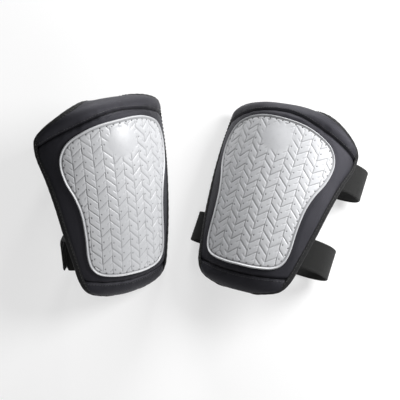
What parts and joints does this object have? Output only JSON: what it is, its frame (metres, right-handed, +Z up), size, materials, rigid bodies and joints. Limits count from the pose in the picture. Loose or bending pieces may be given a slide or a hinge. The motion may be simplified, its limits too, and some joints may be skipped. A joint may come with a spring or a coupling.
{
  "type": "knee pads",
  "caption": "Pair of strap-on knee pads with a curved fabric-covered foam body, a hard treaded cap and webbing straps that close with hook-and-loop fastener.",
  "frame": {"origin": "middle of the pair's outline on the surface it lies on", "axes": "+Z up from the surface, +X from the left pad to the right pad, +Y towards the pads' top ends"},
  "size_m": [0.4063, 0.2482, 0.1455],
  "materials": {
    "cap": "semi-gloss light grey moulded plastic with a raised tread",
    "cover_fabric": "satin black woven nylon",
    "lining_fabric": "matte black knitted mesh",
    "binding_tape": "matte black ribbed tape",
    "webbing": "matte charcoal elastic webbing",
    "hook_tape": "matte black hook tape",
    "loop_tape": "napped black loop tape",
    "thread": "twisted polyester thread",
    "foam": "closed-cell foam",
    "gel": "soft gel"
  },
  "bodies": {
    "right_pad": {"right_cap": "cap", "right_cap_stitching": "thread", "right_front_cover": "cover_fabric", "right_top_cover": "cover_fabric", "right_bottom_cover": "cover_fabric", "right_foam_core": "foam", "right_top_roll": "foam", "right_bottom_roll": "foam", "right_gel_insert": "gel", "right_back_lining": "lining_fabric", "right_edge_binding": "binding_tape", "right_seam_stitching": "thread", "right_upper_strap": "webbing", "right_lower_strap": "webbing", "right_upper_tab": "webbing", "right_lower_tab": "webbing", "right_upper_loop": "loop_tape", "right_lower_loop": "loop_tape", "right_strap_tacks": "thread"},
    "right_upper_strap_end": {"right_upper_strap_end": "webbing", "right_upper_hook": "hook_tape"},
    "right_lower_strap_end": {"right_lower_strap_end": "webbing", "right_lower_hook": "hook_tape"},
    "left_pad": {"left_cap": "cap", "left_cap_stitching": "thread", "left_front_cover": "cover_fabric", "left_top_cover": "cover_fabric", "left_bottom_cover": "cover_fabric", "left_foam_core": "foam", "left_top_roll": "foam", "left_bottom_roll": "foam", "left_gel_insert": "gel", "left_back_lining": "lining_fabric", "left_edge_binding": "binding_tape", "left_seam_stitching": "thread", "left_upper_strap": "webbing", "left_lower_strap": "webbing", "left_upper_tab": "webbing", "left_lower_tab": "webbing", "left_upper_loop": "loop_tape", "left_lower_loop": "loop_tape", "left_strap_tacks": "thread"},
    "left_upper_strap_end": {"left_upper_strap_end": "webbing", "left_upper_hook": "hook_tape"},
    "left_lower_strap_end": {"left_lower_strap_end": "webbing", "left_lower_hook": "hook_tape"}
  },
  "joints": [
    {"name": "left_pad_apart", "type": "slide", "parent": "right_pad", "child": "left_pad", "axis": [-1, 0, 0], "range_m": [0, 0.08]},
    {"name": "right_upper_strap_peel", "type": "hinge", "parent": "right_pad", "child": "right_upper_strap_end", "pos_m": [0.08309, 0.05202, 0.006], "axis": [0.309, 0.9511, 0], "range_deg": [0, 90]},
    {"name": "right_lower_strap_peel", "type": "hinge", "parent": "right_pad", "child": "right_lower_strap_end", "pos_m": [0.04401, -0.04884, 0.006], "axis": [0.309, 0.9511, 0], "range_deg": [0, 90]},
    {"name": "left_upper_strap_peel", "type": "hinge", "parent": "left_pad", "child": "left_upper_strap_end", "pos_m": [-0.1986, 0.04456, 0.07445], "axis": [0.0889, -0.9229, -0.3746], "range_deg": [0, 90]},
    {"name": "left_lower_strap_peel", "type": "hinge", "parent": "left_pad", "child": "left_lower_strap_end", "pos_m": [-0.17441, -0.06678, 0.03951], "axis": [0.0889, -0.9229, -0.3746], "range_deg": [0, 90]}
  ]
}
